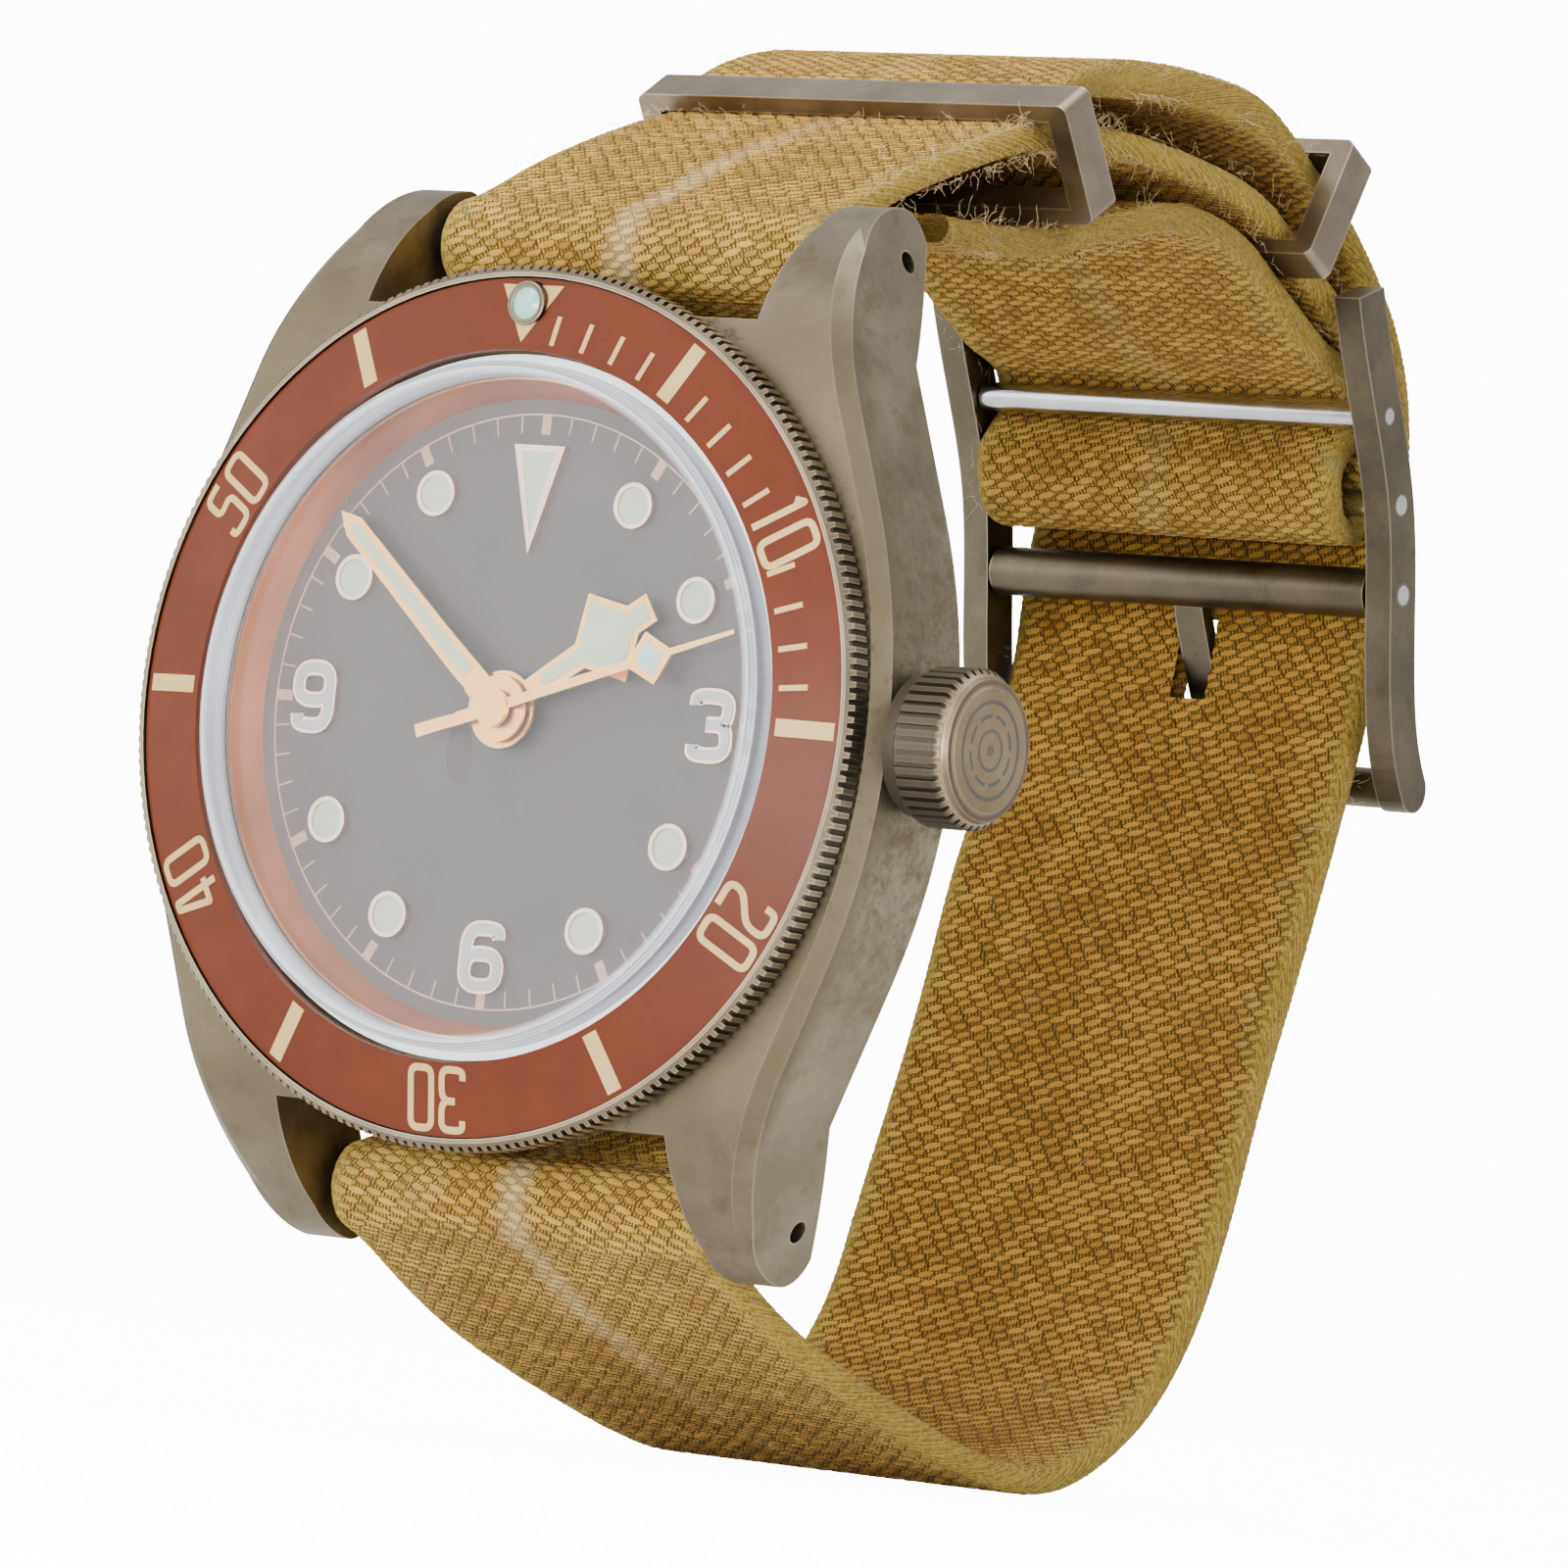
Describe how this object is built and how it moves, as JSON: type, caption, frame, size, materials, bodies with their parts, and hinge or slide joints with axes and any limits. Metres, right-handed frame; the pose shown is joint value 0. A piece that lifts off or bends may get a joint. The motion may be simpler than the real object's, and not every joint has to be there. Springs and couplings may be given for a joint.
{
  "type": "wristwatch",
  "caption": "Mechanical dive watch with turning bezel, geared hands, winding rotor, pull-out crown and a closed woven strap with tang buckle and keepers",
  "frame": {"origin": "centre of the strap's flat wrist-side face behind the case back, on the hands' axis", "axes": "+Y points from the dial into the wrist, +Z to 12 o'clock, +X to the crown at 3 o'clock"},
  "size_m": [0.0464, 0.0636, 0.0694],
  "materials": {
    "case_bronze": "satin brushed bronze with a brown patina",
    "bezel_bronze": "bronze with a dark patina between the teeth",
    "insert_red": "satin red-brown insert with cream print",
    "lume": "pale luminous paint under clear varnish",
    "sapphire": "clear domed crystal",
    "gasket_rubber": "black seal",
    "gasket_nylon": "translucent white nylon seal",
    "rehaut_copper": "rose-coloured polished metal",
    "dial_slate": "matt slate dial",
    "marker_gold": "rose-gold frames with pale luminous paint",
    "hand_gold": "rose-gold frames with pale luminous paint",
    "plate_metal": "rhodium-plated brass, circular grained",
    "wheel_brass": "brushed brass",
    "dark_steel": "hardened steel",
    "rotor_metal": "tungsten-weighted rotor, brushed",
    "strap_fabric": "coarse ochre woven strap with greenish edges",
    "polished_steel": "polished steel",
    "buckle_bronze": "dark satin bronze"
  },
  "bodies": {
    "case": {"case_middle": "case_bronze", "case_back": "case_bronze", "crystal": "sapphire", "case_back_gasket": "gasket_rubber", "crystal_gasket": "gasket_nylon", "rehaut_ring": "rehaut_copper", "dial": "dial_slate", "hour_markers": "marker_gold", "main_plate": "plate_metal", "movement_ring": "plate_metal", "train_bridge": "plate_metal", "balance_bridge": "plate_metal", "pallet_bridge": "plate_metal", "barrel_arbor": "dark_steel", "mainspring": "dark_steel", "hairspring": "dark_steel", "crown_tube": "dark_steel", "bezel_click_spring": "dark_steel", "bridge_screws": "dark_steel", "rotor_bearing": "dark_steel", "strap_centre": "strap_fabric", "strap_upper": "strap_fabric", "strap_lower": "strap_fabric", "lug_bar_upper": "polished_steel", "lug_bar_lower": "polished_steel", "buckle_spring_bar": "polished_steel", "buckle_fixed_bar": "polished_steel", "buckle_pin": "polished_steel", "buckle_frame": "buckle_bronze", "keeper_front": "buckle_bronze", "keeper_rear": "buckle_bronze"},
    "bezel": {"bezel_ring": "bezel_bronze", "bezel_insert": "insert_red", "bezel_pearl": "lume"},
    "seconds_train": {"fourth_wheel": "wheel_brass", "seconds_hand": "hand_gold"},
    "minutes_train": {"centre_wheel": "wheel_brass", "cannon_pinion": "dark_steel", "minute_hand": "hand_gold"},
    "hours_train": {"hour_wheel": "wheel_brass", "hour_hand": "hand_gold"},
    "minute_wheel_group": {"minute_wheel": "wheel_brass"},
    "third_wheel_group": {"third_wheel": "wheel_brass"},
    "escape_wheel_group": {"escape_wheel": "dark_steel"},
    "barrel_group": {"barrel": "wheel_brass"},
    "pallet_fork_group": {"pallet_fork": "dark_steel"},
    "balance_group": {"balance_wheel": "wheel_brass"},
    "rotor_group": {"rotor": "rotor_metal"},
    "winding_group": {"winding_pinion": "dark_steel"},
    "crown_group": {"crown": "case_bronze", "winding_stem": "dark_steel", "crown_gasket": "gasket_rubber"},
    "tongue_group": {"buckle_roller": "buckle_bronze"},
    "upper_tip_right": {"lug_bar_upper_tip_right": "polished_steel"},
    "upper_tip_left": {"lug_bar_upper_tip_left": "polished_steel"},
    "lower_tip_right": {"lug_bar_lower_tip_right": "polished_steel"},
    "lower_tip_left": {"lug_bar_lower_tip_left": "polished_steel"}
  },
  "joints": [
    {"name": "seconds_hand_turn", "type": "hinge", "parent": "case", "child": "seconds_train", "pos_m": [0, -0.008, 0], "axis": [0, 1, 0], "continuous": true},
    {"name": "minute_hand_turn", "type": "hinge", "parent": "case", "child": "minutes_train", "pos_m": [0, -0.008, 0], "axis": [0, 1, 0], "continuous": true},
    {"name": "hour_hand_turn", "type": "hinge", "parent": "case", "child": "hours_train", "pos_m": [0, -0.008, 0], "axis": [0, 1, 0], "continuous": true},
    {"name": "minute_wheel_turn", "type": "hinge", "parent": "case", "child": "minute_wheel_group", "pos_m": [-0.00256, -0.01, -0.00179], "axis": [0, 1, 0], "continuous": true},
    {"name": "third_wheel_turn", "type": "hinge", "parent": "case", "child": "third_wheel_group", "pos_m": [0.00468, -0.008, -0.0027], "axis": [0, 1, 0], "continuous": true},
    {"name": "escape_wheel_turn", "type": "hinge", "parent": "case", "child": "escape_wheel_group", "pos_m": [-0.00351, -0.008, -0.00418], "axis": [0, 1, 0], "continuous": true},
    {"name": "barrel_turn", "type": "hinge", "parent": "case", "child": "barrel_group", "pos_m": [-0.00174, -0.008, 0.00649], "axis": [0, 1, 0], "continuous": true},
    {"name": "pallet_fork_swing", "type": "hinge", "parent": "case", "child": "pallet_fork_group", "pos_m": [-0.00197, -0.008, -0.00664], "axis": [0, 1, 0], "range_deg": [-5, 5]},
    {"name": "balance_swing", "type": "hinge", "parent": "case", "child": "balance_group", "pos_m": [-0.0008, -0.008, -0.0099], "axis": [0, 1, 0], "range_deg": [-270, 270], "stiffness_Nm_per_rad": 0.00000076},
    {"name": "rotor_turn", "type": "hinge", "parent": "case", "child": "rotor_group", "pos_m": [0, -0.004, 0], "axis": [0, 1, 0], "continuous": true},
    {"name": "bezel_turn", "type": "hinge", "parent": "case", "child": "bezel", "pos_m": [0, -0.0135, 0], "axis": [0, 1, 0], "continuous": true},
    {"name": "crown_turn", "type": "hinge", "parent": "case", "child": "winding_group", "pos_m": [0.0103, -0.0097, 0], "axis": [1, 0, 0], "continuous": true},
    {"name": "crown_pull", "type": "slide", "parent": "winding_group", "child": "crown_group", "axis": [1, 0, 0], "range_m": [0, 0.0022]},
    {"name": "buckle_tongue_swing", "type": "hinge", "parent": "case", "child": "tongue_group", "pos_m": [0, 0.0423, 0.0128], "axis": [1, 0, 0], "range_deg": [0, 2.5]},
    {"name": "lug_bar_upper_tip_right_slide", "type": "slide", "parent": "case", "child": "upper_tip_right", "axis": [-1, 0, 0], "range_m": [0, 0.0017], "stiffness_N_per_m": 600, "springref_m": -0.003},
    {"name": "lug_bar_upper_tip_left_slide", "type": "slide", "parent": "case", "child": "upper_tip_left", "axis": [1, 0, 0], "range_m": [0, 0.0017], "stiffness_N_per_m": 600, "springref_m": -0.003},
    {"name": "lug_bar_lower_tip_right_slide", "type": "slide", "parent": "case", "child": "lower_tip_right", "axis": [-1, 0, 0], "range_m": [0, 0.0017], "stiffness_N_per_m": 600, "springref_m": -0.003},
    {"name": "lug_bar_lower_tip_left_slide", "type": "slide", "parent": "case", "child": "lower_tip_left", "axis": [1, 0, 0], "range_m": [0, 0.0017], "stiffness_N_per_m": 600, "springref_m": -0.003}
  ],
  "couplings": [
    {"joint": "minute_hand_turn", "follows": "seconds_hand_turn", "ratio": 0.016667},
    {"joint": "hour_hand_turn", "follows": "seconds_hand_turn", "ratio": 0.0013889},
    {"joint": "minute_wheel_turn", "follows": "seconds_hand_turn", "ratio": -0.0055556},
    {"joint": "third_wheel_turn", "follows": "seconds_hand_turn", "ratio": -0.13333},
    {"joint": "escape_wheel_turn", "follows": "seconds_hand_turn", "ratio": -12},
    {"joint": "barrel_turn", "follows": "seconds_hand_turn", "ratio": -0.002381}
  ]
}
